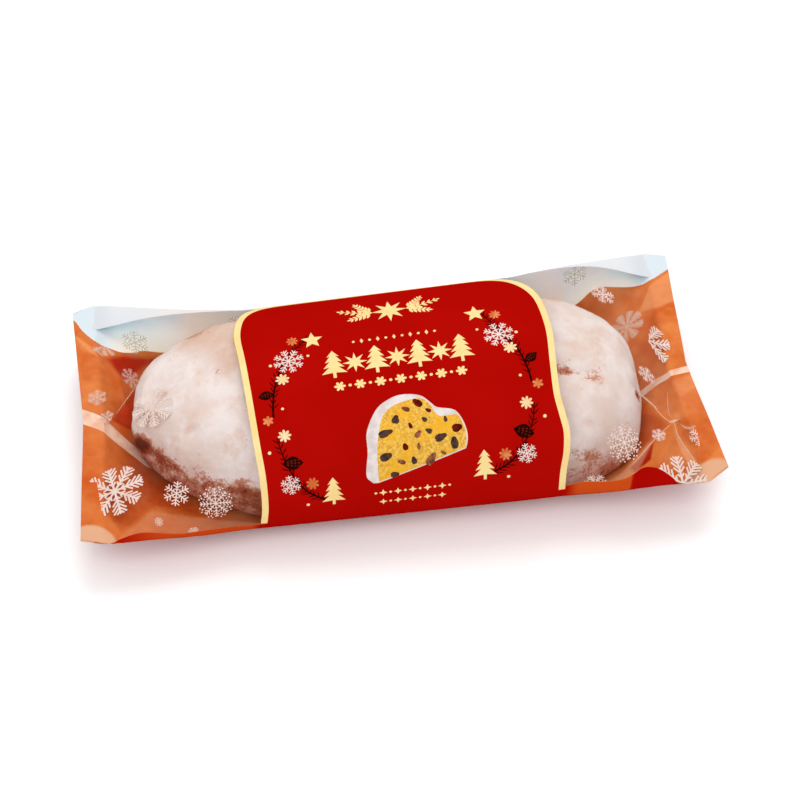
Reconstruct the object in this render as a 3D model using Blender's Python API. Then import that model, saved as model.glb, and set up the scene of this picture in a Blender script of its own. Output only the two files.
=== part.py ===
"""A stollen loaf sealed in a flow-wrap film pack, lying on its base.

The film is a tube drawn tight over the loaf and pressed flat at both ends, so the pack is one closed
solid: its outside surface. Metres, +Z up. +X runs along the loaf, -Y is the pack's front, and the
origin is the middle of the footprint, on the surface the pack lies on.
"""

import math

import bpy
import numpy as np

# Whole pack
PACK_LENGTH = 0.345
SEAL_WIDTH = 0.175  # the flat ends are half the film's girth wide
SEAL_BAND = 0.012
SEAL_THICKNESS = 0.0008
FILM_GIRTH = 0.354

# Body around the loaf, measured from the line that joins the middles of the two seals
FRONT_REACH = 0.0796
BACK_REACH = 0.0578
BODY_HEIGHT = 0.0713
HEIGHT_RISE = 0.14  # share by which the right end of the loaf stands higher and the left end lower
BASE_FLAT = 0.0012  # the base is pressed flat where it would hang lower than this
WIDEST_SHARE = 0.46  # the widest line of the body, as a share of its height
BASE_POWER = 3.15  # superellipse powers of the underside and of the front and back of the top
FRONT_POWER = 2.43
BACK_POWER = 2.28
LENS_POWER = 2.0  # the section near a seal is a thin lens

# Ends: -1 is the left end and 1 the right end
SEAL_HEIGHT = {-1: 0.0275, 1: 0.0297}
END_NOTCH = {-1: 0.0038, 1: 0.0063}  # the middle of each end edge is pulled in by the film's rise
CORNER_CUT = {(-1, -1): 0.0035, (-1, 1): 0.0046, (1, -1): 0.0085, (1, 1): 0.003}
SEAL_WAVE = 0.0006
SEAL_WAVES = 2.5

# Where the body starts to change towards the ends, as shares of half the length
SEAL_START = 1 - 2 * SEAL_BAND / PACK_LENGTH
TOP_FALL_START = 0.467
SIDE_RISE_START = 0.387
MIDDLE_RISE_START = 0.70
FLARE_START = 0.41
NOTCH_START = 0.62
LENS_START = 0.60

# Creases of the film near the ends. Each is a ridge, or a valley if its height is negative, between two
# places given as (metres from the end edge, share of the girth from the middle of the underside).
CREASES = (
    # (end, start, stop, height, width)
    (1, (0.044, 0.415), (0.025, 0.353), 0.0016, 0.0030),
    (1, (0.025, 0.353), (0.012, 0.285), 0.0020, 0.0035),
    (1, (0.025, 0.353), (0.003, 0.362), 0.0014, 0.0025),
    (1, (0.025, 0.353), (0.058, 0.265), 0.0018, 0.0040),
    (1, (0.004, 0.660), (0.030, 0.620), 0.0012, 0.0040),
    (-1, (0.010, 0.262), (0.038, 0.315), 0.0018, 0.0040),
    (-1, (0.038, 0.315), (0.052, 0.270), 0.0014, 0.0030),
    (-1, (0.038, 0.315), (0.045, 0.400), 0.0010, 0.0040),
    (-1, (0.004, 0.680), (0.024, 0.630), 0.0012, 0.0040),
    (-1, (0.016, -0.165), (0.026, -0.045), -0.0018, 0.0040),
    (-1, (0.046, -0.160), (0.020, -0.030), 0.0018, 0.0035),
    (-1, (0.006, 0.120), (0.034, 0.100), -0.0012, 0.0040),
    (1, (0.004, -0.165), (0.024, -0.130), -0.0015, 0.0035),
    (1, (0.030, 0.060), (0.006, 0.150), -0.0014, 0.0040),
)
CREASE_ROUNDING = 0.0006
CREASE_CLEAR_OF_SEAL = 0.012  # over this length the creases fade out towards the seal band
CREASE_REACH = (0.060, 0.090)  # and they fade out over the loaf, between these distances from the end
CREASE_CLEAR_OF_FOLD = 0.12

# Mesh density
BAND_ROWS = 2
END_ROWS = 20
BODY_ROWS = 12
AROUND = 56
FINE_SAMPLES = 721

FILM_COLOUR = (0.47, 0.02, 0.015, 1.0)
FILM_ROUGHNESS = 0.35


def mix(first, second, share):
    return first + (second - first) * share


def ease(share):
    """0 to 1 with a level start and finish."""
    share = np.clip(share, 0.0, 1.0)
    return share * share * (3 - 2 * share)


def ramp(along, start, stop=SEAL_START):
    """0 up to start and 1 from stop on, with along and both limits as shares of half the length."""
    return np.clip((abs(along) - start) / (stop - start), 0.0, 1.0)


def end_of(along):
    return -1 if along < 0 else 1


def section(along):
    """The pack's section at one place along it, as (y, z, reach) from the middle of the underside,
    round the front, over the top and down the back."""
    seal = SEAL_HEIGHT[end_of(along)]
    height = BODY_HEIGHT * (1 + HEIGHT_RISE * along)
    fall = (1 - ramp(along, TOP_FALL_START) ** 1.7) ** 1.3
    side_rise = ramp(along, SIDE_RISE_START)
    side_rise = 0.35 * ease(side_rise) + 0.65 * side_rise**3.2
    middle_rise = ramp(along, MIDDLE_RISE_START) ** 1.6
    seal_top = seal + SEAL_THICKNESS / 2
    seal_bottom = seal - SEAL_THICKNESS / 2
    top = mix(seal_top, height, fall)
    bottom = mix(-BASE_FLAT, seal_bottom, side_rise)
    lens = ease(ramp(along, LENS_START))
    widest = mix(bottom, top, mix(WIDEST_SHARE, 0.5, lens))
    flare = ease(ramp(along, FLARE_START))

    angle = np.linspace(0, 2 * math.pi, FINE_SAMPLES)
    forward, up = np.sin(angle), -np.cos(angle)
    reach = mix(np.where(forward > 0, FRONT_REACH, BACK_REACH), SEAL_WIDTH / 2, flare)
    power = np.where(up < 0, BASE_POWER, np.where(forward > 0, FRONT_POWER, BACK_POWER))
    power = mix(power, LENS_POWER, lens)
    y = -reach * np.sign(forward) * np.abs(forward) ** (2 / power)
    half_height = np.where(up < 0, widest - bottom, top - widest)
    z = widest + half_height * np.sign(up) * np.abs(up) ** (2 / power)

    # Under the loaf's ends the middle of the underside stays down while its sides already rise.
    sag = seal_bottom * np.maximum(side_rise - middle_rise, 0)
    sag = sag * (1 - ease((np.abs(y) / reach - 0.1) / 0.8))
    z = np.where(up < 0, z - sag, z)
    return y, np.maximum(z, 0.0), reach


def relief(along, around):
    """Height of the creases over the smooth film, for rows along and columns around."""
    from_end = (1 - np.abs(along))[:, None] * PACK_LENGTH / 2 + 0 * around
    height = np.zeros(from_end.shape)
    for end, start, stop, crease_height, width in CREASES:
        at_end = np.sign(along)[:, None] == end
        run = np.array([stop[0] - start[0], (stop[1] - start[1]) * FILM_GIRTH])
        for turn in (-1, 0, 1):
            away = from_end - start[0]
            aside = (around[None, :] + turn - start[1]) * FILM_GIRTH + 0 * from_end
            share = np.clip((away * run[0] + aside * run[1]) / (run @ run), 0, 1)
            distance = np.hypot(away - share * run[0], aside - share * run[1])
            distance = np.hypot(distance, CREASE_ROUNDING) - CREASE_ROUNDING
            height += np.where(at_end, crease_height * np.exp(-distance / width), 0)
    near, far = CREASE_REACH
    fade = ease((from_end - SEAL_BAND) / CREASE_CLEAR_OF_SEAL) * ease((far - from_end) / (far - near))
    from_fold = 2 * np.abs((2 * around) % 1 - 0.5)
    return height * fade * ease(from_fold / CREASE_CLEAR_OF_FOLD)[None, :]


def outward(points):
    """Unit normals of a grid of points that is closed around."""
    down_rows = np.gradient(points, axis=0)
    across = np.roll(points, -1, axis=1) - np.roll(points, 1, axis=1)
    normal = np.cross(down_rows, across)
    return normal / np.linalg.norm(normal, axis=2, keepdims=True)


def film_points(along, around):
    """Points of the film, one row for each place along the pack and one column for each share of the
    girth. A column stays on the same line of the film all along the pack."""
    points = np.zeros((len(along), len(around), 3))
    for row, place in enumerate(along):
        y, z, reach = section(place)
        length = np.concatenate([[0], np.cumsum(np.hypot(np.diff(y), np.diff(z)))])
        share = length / length[-1]
        sideways = y / reach
        side = np.where(sideways < 0, -1, 1)
        end = end_of(place)
        cut = np.where(side < 0, CORNER_CUT[end, -1], CORNER_CUT[end, 1])
        y = y - side * cut * np.abs(sideways) * ramp(place, SEAL_START, 1.0)
        notch = END_NOTCH[end] * ramp(place, NOTCH_START, 1.0) ** 1.5
        x = place * PACK_LENGTH / 2 - end * notch * (1 - np.abs(sideways))
        wave = SEAL_WAVE * np.sin(SEAL_WAVES * math.pi * sideways) * (1 - sideways**2)
        z = z + wave * ramp(place, LENS_START, 1.0) ** 2
        for axis, value in enumerate((x, y, z)):
            points[row, :, axis] = np.interp(around, share, value)
    points += outward(points) * relief(along, around)[:, :, None]
    points[:, :, 2] = np.maximum(points[:, :, 2], 0.0)
    return points


def rows_along():
    body = np.linspace(-FLARE_START, FLARE_START, BODY_ROWS + 1)
    end = np.linspace(FLARE_START, SEAL_START, END_ROWS + 1)[1:]
    band = np.linspace(SEAL_START, 1.0, BAND_ROWS + 1)[1:]
    right = np.concatenate([end, band])
    return np.concatenate([-right[::-1], body, right])


def pack_faces(rows, columns):
    """Quads round the tube, and a strip of quads that joins top and bottom at each end."""
    faces = []
    for row in range(rows - 1):
        for column in range(columns):
            beside = (column + 1) % columns
            here, there = row * columns, (row + 1) * columns
            faces.append((here + column, there + column, there + beside, here + beside))
    half = columns // 2
    for row, flip in ((0, False), (rows - 1, True)):
        base = row * columns
        for step in range(-(half // 2), half // 2):
            low = (base + step % columns, base + (step + 1) % columns)
            high = (base + (half - step - 1) % columns, base + (half - step) % columns)
            corners = list(dict.fromkeys((*low, *high)))
            faces.append(tuple(reversed(corners)) if flip else tuple(corners))
    return faces


def film_material():
    material = bpy.data.materials.new("printed_film")
    material.use_nodes = True
    shader = material.node_tree.nodes["Principled BSDF"]
    shader.inputs["Base Color"].default_value = FILM_COLOUR
    shader.inputs["Roughness"].default_value = FILM_ROUGHNESS
    shader.inputs["Metallic"].default_value = 0.0
    return material


def build_pack(collection):
    around = np.arange(AROUND) / AROUND
    points = film_points(rows_along(), around)
    mesh = bpy.data.meshes.new("film_pack")
    mesh.from_pydata(points.reshape(-1, 3).tolist(), [], pack_faces(points.shape[0], AROUND))
    mesh.validate()
    mesh.shade_smooth()
    mesh.set_sharp_from_angle(angle=math.radians(50))
    mesh.materials.append(film_material())
    pack = bpy.data.objects.new("film_pack", mesh)
    collection.objects.link(pack)
    return pack


def main():
    for old in list(bpy.data.objects):
        bpy.data.objects.remove(old, do_unlink=True)
    collection = bpy.data.collections.new("packed_stollen")
    bpy.context.scene.collection.children.link(collection)
    build_pack(collection)


main()
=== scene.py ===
"""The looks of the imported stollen: a sugared loaf sealed in a printed film tube with clear windows.

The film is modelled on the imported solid's own surface. A place on it is given by x, metres along the
pack from its middle, and y, metres round the film from the middle of the underside: the front fold is
at a quarter of the girth, the middle of the top at half, and the back fold at three quarters.
"""

import cmath
import math
import random

import bmesh
import bpy
import numpy as np
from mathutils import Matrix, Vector, noise


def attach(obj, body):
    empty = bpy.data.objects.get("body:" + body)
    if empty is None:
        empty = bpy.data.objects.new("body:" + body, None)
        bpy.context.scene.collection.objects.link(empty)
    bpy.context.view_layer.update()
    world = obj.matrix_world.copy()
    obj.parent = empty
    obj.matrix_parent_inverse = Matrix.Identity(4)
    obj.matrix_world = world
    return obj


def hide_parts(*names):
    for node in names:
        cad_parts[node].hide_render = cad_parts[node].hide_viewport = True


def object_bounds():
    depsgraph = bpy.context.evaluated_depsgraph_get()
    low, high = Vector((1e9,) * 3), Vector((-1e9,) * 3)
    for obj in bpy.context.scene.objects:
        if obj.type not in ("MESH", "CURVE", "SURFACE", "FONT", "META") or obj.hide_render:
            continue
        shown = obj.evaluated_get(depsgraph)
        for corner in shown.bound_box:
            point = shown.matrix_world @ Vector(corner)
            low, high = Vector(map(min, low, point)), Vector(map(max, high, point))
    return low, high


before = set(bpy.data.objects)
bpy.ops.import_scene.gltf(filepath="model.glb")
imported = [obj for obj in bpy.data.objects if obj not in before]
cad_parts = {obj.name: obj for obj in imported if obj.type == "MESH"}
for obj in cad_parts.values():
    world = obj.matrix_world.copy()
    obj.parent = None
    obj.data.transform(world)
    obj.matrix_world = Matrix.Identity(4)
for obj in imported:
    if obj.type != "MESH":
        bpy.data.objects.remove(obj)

CAD_LOW, CAD_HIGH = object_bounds()
MM = 0.001

# The film's shape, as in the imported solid
PACK_LENGTH = CAD_HIGH.x - CAD_LOW.x
SEAL_WIDTH = CAD_HIGH.y - CAD_LOW.y
SEAL_BAND = 12 * MM
SEAL_THICKNESS = 0.8 * MM
FILM_GIRTH = 354 * MM
FRONT_REACH = 79.6 * MM
BACK_REACH = 57.8 * MM
BODY_HEIGHT = 71.3 * MM
HEIGHT_RISE = 0.14
BASE_FLAT = 1.2 * MM
WIDEST_SHARE = 0.46
BASE_POWER = 3.15
FRONT_POWER = 2.43
BACK_POWER = 2.28
LENS_POWER = 2.0
SEAL_HEIGHT = {-1: 27.5 * MM, 1: 29.7 * MM}
END_NOTCH = {-1: 3.8 * MM, 1: 6.3 * MM}
CORNER_CUT = {(-1, -1): 3.5 * MM, (-1, 1): 4.6 * MM, (1, -1): 8.5 * MM, (1, 1): 3.0 * MM}
SEAL_WAVE = 0.6 * MM
SEAL_WAVES = 2.5
SEAL_START = 1 - 2 * SEAL_BAND / PACK_LENGTH
TOP_FALL_START = 0.467
SIDE_RISE_START = 0.387
MIDDLE_RISE_START = 0.70
FLARE_START = 0.41
NOTCH_START = 0.62
LENS_START = 0.60
# Creases: end, then start and stop as (metres from the end edge, share of the girth), height, width
CREASES = (
    (1, (0.044, 0.415), (0.025, 0.353), 0.0016, 0.0030),
    (1, (0.025, 0.353), (0.012, 0.285), 0.0020, 0.0035),
    (1, (0.025, 0.353), (0.003, 0.362), 0.0014, 0.0025),
    (1, (0.025, 0.353), (0.058, 0.265), 0.0018, 0.0040),
    (1, (0.004, 0.660), (0.030, 0.620), 0.0012, 0.0040),
    (-1, (0.010, 0.262), (0.038, 0.315), 0.0018, 0.0040),
    (-1, (0.038, 0.315), (0.052, 0.270), 0.0014, 0.0030),
    (-1, (0.038, 0.315), (0.045, 0.400), 0.0010, 0.0040),
    (-1, (0.004, 0.680), (0.024, 0.630), 0.0012, 0.0040),
    (-1, (0.016, -0.165), (0.026, -0.045), -0.0018, 0.0040),
    (-1, (0.046, -0.160), (0.020, -0.030), 0.0018, 0.0035),
    (-1, (0.006, 0.120), (0.034, 0.100), -0.0012, 0.0040),
    (1, (0.004, -0.165), (0.024, -0.130), -0.0015, 0.0035),
    (1, (0.030, 0.060), (0.006, 0.150), -0.0014, 0.0040),
)
CREASE_ROUNDING = 0.6 * MM
CREASE_CLEAR_OF_SEAL = 12 * MM
CREASE_REACH = (60 * MM, 90 * MM)
CREASE_CLEAR_OF_FOLD = 0.12
FINE_SAMPLES = 721
SURFACE_STEP = 0.5 * MM

# Landmarks round the film
FRONT_FOLD = 0.25 * FILM_GIRTH
TOP_LINE = 0.694 * FILM_GIRTH  # the label and the windows end here, and the snow drift starts

# Heights over the solid's surface of the layers of film and print
WINDOW_LAYER = (-0.10 * MM, -0.15 * MM)
INSIDE_FACE = -0.20 * MM  # the inner face of the lower film and the drift, away from the seals
SEAL_SQUEEZE = 0.42 * MM  # how much deeper that face lies in the flat seals, up against the windows
DRIFT_FACE = 0.02 * MM
LABEL_LAYER = (0.05 * MM, -0.05 * MM)
BORDER_LAYER = (0.14 * MM, -0.04 * MM)
CREASE_BASE = -0.18 * MM
INSIDE_PRINT_DEPTH = 0.08 * MM
PRINT_BASE = -0.16 * MM
LABEL_PRINT_BASE = 0.03 * MM
PRINT_RISE = 0.10 * MM
LAYER_STEP = 0.03 * MM
MOST_HALVINGS = 6

# The label on the front and top: its left and right edges as rows of (mm up from its foot, mm out)
LABEL_MIDDLE = 2.3 * MM
LABEL_HEIGHT = TOP_LINE - FRONT_FOLD
LABEL_EDGES = {
    -1: ((-3, 79.1), (14, 77.4), (32, 77.4), (52, 78.9), (86, 80.8), (106, 82.0), (121, 83.2), (132, 82.3),
         (142, 79.6), (149, 75.4), (153.8, 69.5), (156.5, 62), (157.2, 54)),
    1: ((-3, 79.6), (15, 79.6), (27, 81.4), (37, 82.2), (46, 81.0), (58, 79.7), (76, 80.6), (98, 82.2),
        (118, 80.6), (130, 77.2), (141, 71.4), (148.6, 65), (153.8, 58), (156.5, 51), (157.2, 44)),
}
BORDER_WIDTH = 3.4 * MM
BORDER_SHARES = (0.6, -0.4)  # how the border lies outside and inside the label's edge

# The clear windows end under the label, and tuck under the opaque film at the fold and the drift
WINDOW_ENDS = (-48 * MM, 46 * MM)
WINDOW_TUCK = (1.5 * MM, 2 * MM)
DRIFT_OVERLAP = 0.3 * MM

# The back seam's fin, folded flat on the underside
FIN_EDGES = (1.0 * MM, 13.0 * MM)
FIN_FOOT = 0.02 * MM
FIN_HEIGHT = 0.26 * MM
RIB_HEIGHT = 0.06 * MM
RIB_PITCH = 1.7 * MM
SEAM_INSIDE_LAYER = (-0.15 * MM, -0.42 * MM)
SEAM_LIFT = 0.03 * MM  # the seam's band stands this far inside the film in the seals

# The light is a little stronger than a colour's plain value, so that the pale floor turns white.
LIGHT_LEVEL = 1.2


def srgb(red, green, blue):
    """A colour as it should look in the light, in display values from 0 to 255, for a shader."""
    channels = []
    for value in (red, green, blue):
        value = value / 255
        value = value / 12.92 if value <= 0.04045 else ((value + 0.055) / 1.055) ** 2.4
        channels.append(value / LIGHT_LEVEL)
    return (*channels, 1.0)


def mix(first, second, share):
    return first + (second - first) * share


def ease(share):
    share = np.clip(share, 0.0, 1.0)
    return share * share * (3 - 2 * share)


def ramp(along, start, stop=SEAL_START):
    return np.clip((abs(along) - start) / (stop - start), 0.0, 1.0)


def end_of(along):
    return -1 if along < 0 else 1


def smooth_curve(controls, count):
    """Points on a curve through control rows, which may have any number of columns."""
    rows = np.asarray(controls, float)
    rows = np.vstack([2 * rows[0] - rows[1], rows, 2 * rows[-1] - rows[-2]])
    place = np.linspace(0, len(controls) - 1, count)
    start = np.minimum(place.astype(int), len(controls) - 2)
    share = (place - start)[:, None]
    before, here, there, after = (rows[start + step] for step in range(4))
    turn = 2 * before - 5 * here + 4 * there - after
    twist = 3 * (here - there) + after - before
    return 0.5 * (2 * here + (there - before) * share + turn * share**2 + twist * share**3)


# ---------------------------------------------------------------- the film's surface

def section(along):
    seal = SEAL_HEIGHT[end_of(along)]
    height = BODY_HEIGHT * (1 + HEIGHT_RISE * along)
    fall = (1 - ramp(along, TOP_FALL_START) ** 1.7) ** 1.3
    side_rise = ramp(along, SIDE_RISE_START)
    side_rise = 0.35 * ease(side_rise) + 0.65 * side_rise**3.2
    middle_rise = ramp(along, MIDDLE_RISE_START) ** 1.6
    seal_bottom = seal - SEAL_THICKNESS / 2
    top = mix(seal + SEAL_THICKNESS / 2, height, fall)
    bottom = mix(-BASE_FLAT, seal_bottom, side_rise)
    lens = ease(ramp(along, LENS_START))
    widest = mix(bottom, top, mix(WIDEST_SHARE, 0.5, lens))
    flare = ease(ramp(along, FLARE_START))

    angle = np.linspace(0, 2 * math.pi, FINE_SAMPLES)
    forward, up = np.sin(angle), -np.cos(angle)
    reach = mix(np.where(forward > 0, FRONT_REACH, BACK_REACH), SEAL_WIDTH / 2, flare)
    power = np.where(up < 0, BASE_POWER, np.where(forward > 0, FRONT_POWER, BACK_POWER))
    power = mix(power, LENS_POWER, lens)
    y = -reach * np.sign(forward) * np.abs(forward) ** (2 / power)
    half_height = np.where(up < 0, widest - bottom, top - widest)
    z = widest + half_height * np.sign(up) * np.abs(up) ** (2 / power)

    sag = seal_bottom * np.maximum(side_rise - middle_rise, 0)
    sag = sag * (1 - ease((np.abs(y) / reach - 0.1) / 0.8))
    z = np.where(up < 0, z - sag, z)
    return y, np.maximum(z, 0.0), reach


def line_distance(from_end, around, start, stop):
    """Metres from each place to the line between two places given as (from the end edge, share)."""
    run = np.array([stop[0] - start[0], (stop[1] - start[1]) * FILM_GIRTH])
    away = from_end - start[0]
    nearest = np.full(np.broadcast(from_end, around).shape, np.inf)
    for turn in (-1, 0, 1):
        aside = (around + turn - start[1]) * FILM_GIRTH + 0 * from_end
        share = np.clip((away * run[0] + aside * run[1]) / (run @ run), 0, 1)
        nearest = np.minimum(nearest, np.hypot(away - share * run[0], aside - share * run[1]))
    return nearest


def relief(along, around):
    from_end = (1 - np.abs(along))[:, None] * PACK_LENGTH / 2 + 0 * around
    around = around[None, :]
    height = np.zeros(from_end.shape)
    for end, start, stop, crease_height, width in CREASES:
        at_end = np.sign(along)[:, None] == end
        distance = line_distance(from_end, around, start, stop)
        distance = np.hypot(distance, CREASE_ROUNDING) - CREASE_ROUNDING
        height += np.where(at_end, crease_height * np.exp(-distance / width), 0)
    near, far = CREASE_REACH
    fade = ease((from_end - SEAL_BAND) / CREASE_CLEAR_OF_SEAL) * ease((far - from_end) / (far - near))
    from_fold = 2 * np.abs((2 * around) % 1 - 0.5)
    return height * fade * ease(from_fold / CREASE_CLEAR_OF_FOLD)


def outward(points):
    down_rows = np.gradient(points, axis=0)
    across = np.roll(points, -1, axis=1) - np.roll(points, 1, axis=1)
    normal = np.cross(down_rows, across)
    return normal / np.linalg.norm(normal, axis=2, keepdims=True)


def film_points(along, around):
    points = np.zeros((len(along), len(around), 3))
    for row, place in enumerate(along):
        y, z, reach = section(place)
        length = np.concatenate([[0], np.cumsum(np.hypot(np.diff(y), np.diff(z)))])
        share = length / length[-1]
        sideways = y / reach
        side = np.where(sideways < 0, -1, 1)
        end = end_of(place)
        cut = np.where(side < 0, CORNER_CUT[end, -1], CORNER_CUT[end, 1])
        y = y - side * cut * np.abs(sideways) * ramp(place, SEAL_START, 1.0)
        notch = END_NOTCH[end] * ramp(place, NOTCH_START, 1.0) ** 1.5
        x = place * PACK_LENGTH / 2 - end * notch * (1 - np.abs(sideways))
        wave = SEAL_WAVE * np.sin(SEAL_WAVES * math.pi * sideways) * (1 - sideways**2)
        z = z + wave * ramp(place, LENS_START, 1.0) ** 2
        for axis, value in enumerate((x, y, z)):
            points[row, :, axis] = np.interp(around, share, value)
    points += outward(points) * relief(along, around)[:, :, None]
    points[:, :, 2] = np.maximum(points[:, :, 2], 0.0)
    return points


SURFACE_ROWS = round(PACK_LENGTH / SURFACE_STEP) + 1
SURFACE_COLUMNS = round(FILM_GIRTH / SURFACE_STEP)
SURFACE = film_points(np.linspace(-1, 1, SURFACE_ROWS), np.arange(SURFACE_COLUMNS) / SURFACE_COLUMNS)
SURFACE_NORMAL = outward(SURFACE)


def film_at(x, y, lift=0.0):
    """Points over places on the film, raised by lift from the solid's surface."""
    row = (np.clip(2 * x / PACK_LENGTH, -1, 1) + 1) / 2 * (SURFACE_ROWS - 1)
    column = (y / FILM_GIRTH % 1.0) * SURFACE_COLUMNS
    first_row = np.minimum(row.astype(int), SURFACE_ROWS - 2)
    first_column = column.astype(int) % SURFACE_COLUMNS
    next_column = (first_column + 1) % SURFACE_COLUMNS
    down = (row - first_row)[..., None]
    across = (column - np.floor(column))[..., None]
    found = []
    for grid in (SURFACE, SURFACE_NORMAL):
        upper = mix(grid[first_row, first_column], grid[first_row, next_column], across)
        lower = mix(grid[first_row + 1, first_column], grid[first_row + 1, next_column], across)
        found.append(mix(upper, lower, down))
    return found[0] + found[1] * np.asarray(lift)[..., None]


# ---------------------------------------------------------------- making pieces

def add_piece(name, points, faces, materials, face_material=None, attributes=None, crease=50):
    """A mesh object that stands for part of the pack and rides with it."""
    mesh = bpy.data.meshes.new(name)
    mesh.from_pydata(np.asarray(points).reshape(-1, 3).tolist(), [], faces)
    for material in materials:
        mesh.materials.append(material)
    if face_material is not None:
        mesh.polygons.foreach_set("material_index", np.asarray(face_material, np.int32))
    for key, values in (attributes or {}).items():
        layer = mesh.attributes.new(key, "FLOAT", "POINT")
        layer.data.foreach_set("value", np.asarray(values, np.float32).ravel())
    mesh.shade_smooth()
    mesh.set_sharp_from_angle(angle=math.radians(crease))
    mesh.update()
    piece = bpy.data.objects.new(name, mesh)
    bpy.context.scene.collection.objects.link(piece)
    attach(piece, "root")
    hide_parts("film_pack")
    return piece


def grid_faces(rows, columns):
    here = (np.arange(rows - 1)[:, None] * columns + np.arange(columns - 1)[None, :]).ravel()
    return np.stack([here, here + columns, here + columns + 1, here + 1], 1)


def sheet(name, x, y, layer, materials, attributes=None):
    """A closed thin sheet of film over a grid of places, whose outer face has the first material and
    whose inner face has the last. Rows run along the pack and columns round it."""
    rows, columns = x.shape
    outer, inner = (film_at(x, y, np.broadcast_to(lift, x.shape)) for lift in layer)
    count = rows * columns
    skin = grid_faces(rows, columns)
    index = np.arange(count).reshape(rows, columns)
    rim = np.concatenate([index[:-1, 0], index[-1, :-1], index[:0:-1, -1], index[0, :0:-1]])
    beside = np.roll(rim, -1)
    edge = np.stack([beside, rim, rim + count, beside + count], 1)
    faces = np.concatenate([skin, skin[:, ::-1] + count, edge])
    face_material = np.full(len(faces), len(materials) - 1)
    face_material[:len(skin)] = 0
    doubled = {key: np.concatenate([values.ravel()] * 2) for key, values in (attributes or {}).items()}
    points = np.concatenate([outer.reshape(-1, 3), inner.reshape(-1, 3)])
    return add_piece(name, points, faces.tolist(), materials, face_material, doubled)


def filled(outline, longest):
    """Corners and triangles that fill a flat outline with no edge longer than longest."""
    patch = bmesh.new()
    ring = [patch.verts.new((corner.real, corner.imag, 0)) for corner in outline]
    face = patch.faces.new(ring)
    face.normal_update()
    if face.normal.z < 0:
        face.normal_flip()
    bmesh.ops.triangulate(patch, faces=[face])
    for halving in range(MOST_HALVINGS):
        long_edges = [edge for edge in patch.edges if edge.calc_length() > longest]
        bmesh.ops.subdivide_edges(patch, edges=long_edges, cuts=1)
        bmesh.ops.triangulate(patch, faces=patch.faces[:])
    patch.verts.index_update()
    corners = np.array([complex(vertex.co.x, vertex.co.y) for vertex in patch.verts])
    triangles = [[vertex.index for vertex in face.verts] for face in patch.faces]
    rim = []
    for edge in patch.edges:
        if len(edge.link_faces) == 1:
            loop = next(loop for loop in edge.link_loops)
            rim.append((loop.vert.index, loop.link_loop_next.vert.index))
    patch.free()
    return corners, triangles, rim


def printed(name, material, shapes, base, longest=2.0 * MM):
    """One piece of raised print: each shape is (outline, layer), in film places. base is the height of
    its foot over the solid's surface, or a function that gives it from x."""
    points, faces, count = [], [], 0
    for outline, layer in shapes:
        corners, triangles, rim = filled(outline, longest)
        number = len(corners)
        foot = base(corners.real) if callable(base) else np.full(number, base)
        for lift in (foot + PRINT_RISE + layer * LAYER_STEP, foot):
            points.append(film_at(corners.real, corners.imag, lift))
        for a, b, c in triangles:
            faces.append((count + a, count + b, count + c))
            faces.append((count + number + c, count + number + b, count + number + a))
        for a, b in rim:
            faces.append((count + b, count + a, count + number + a, count + number + b))
        count += 2 * number
    return add_piece(name, np.concatenate(points), faces, [material])


# ---------------------------------------------------------------- motifs, as outlines of complex numbers

def placed(outlines, x, y, size=1.0, turn=0.0, stretch=1.0, layer=0):
    """Outlines moved to a place on the film, turned by degrees and stretched round the film."""
    shapes = []
    for outline in outlines:
        moved = np.asarray(outline) * size * cmath.exp(1j * math.radians(turn))
        shapes.append((x + moved.real + 1j * (y + moved.imag * stretch), layer))
    return shapes


def on_label(outlines, across, up, size=1.0, turn=0.0, layer=0):
    """The same, at millimetres across from the label's middle and up from its foot."""
    return placed(outlines, LABEL_MIDDLE + across * MM, FRONT_FOLD + up * MM, size * MM, turn, 1.0, layer)


def circle(radius=1.0, centre=0.0, corners=16):
    return centre + radius * np.exp(2j * math.pi * np.arange(corners) / corners)


def snowflake(arms, stem, twig, lean, tip, branches, kept=None):
    """A flake of radius 1. Its branches, (place on the arm, length), lean from the arm by degrees.
    kept lists the arms of a flake of which only a part is printed.
    """
    lean = cmath.exp(1j * math.radians(lean))
    side = 1j * lean * twig / 2
    half = [stem / 2 / math.sin(math.pi / arms) * cmath.exp(1j * math.pi / arms)]
    for place, length in branches:
        inner = place + side + lean * (stem / 2 - side.imag) / lean.imag
        outer = place - side + lean * (stem / 2 + side.imag) / lean.imag
        half += [inner, place + side + lean * length, place - side + lean * length, outer]
    half += [tip - stem / 2 + 0.5j * stem]
    arm = np.array([corner.conjugate() for corner in half] + [tip + 0j] + half[:0:-1])
    turns = [cmath.exp(2j * math.pi * number / arms) for number in kept or range(arms)]
    return [np.concatenate([arm * turn for turn in turns])]


def lace_flake():
    """A round, lacy flake: a fine star inside a ring of beads."""
    outlines = snowflake(8, 0.05, 0.05, 50, 0.92, ((0.24, 0.13), (0.42, 0.21), (0.60, 0.22), (0.78, 0.15)))
    for number in range(8):
        between = cmath.exp(1j * math.pi * (2 * number + 1) / 8)
        for place, radius in ((0.50, 0.035), (0.70, 0.045), (0.86, 0.05)):
            outlines.append(circle(radius, between * place, 8))
        for turn in (-0.13, 0.13):
            outlines.append(circle(0.045, between * cmath.exp(1j * turn) * 0.97, 8))
    return outlines


def petals(count, waist):
    angle = np.linspace(0, 2 * math.pi, count * 8, endpoint=False)
    return [mix(waist, 1.0, np.abs(np.cos(count * angle / 2)) ** 0.8) * np.exp(1j * angle)]


def star(points, waist):
    angle = math.pi * np.arange(2 * points) / points + math.pi / 2
    return [np.where(np.arange(2 * points) % 2, waist, 1.0) * np.exp(1j * angle)]


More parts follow.
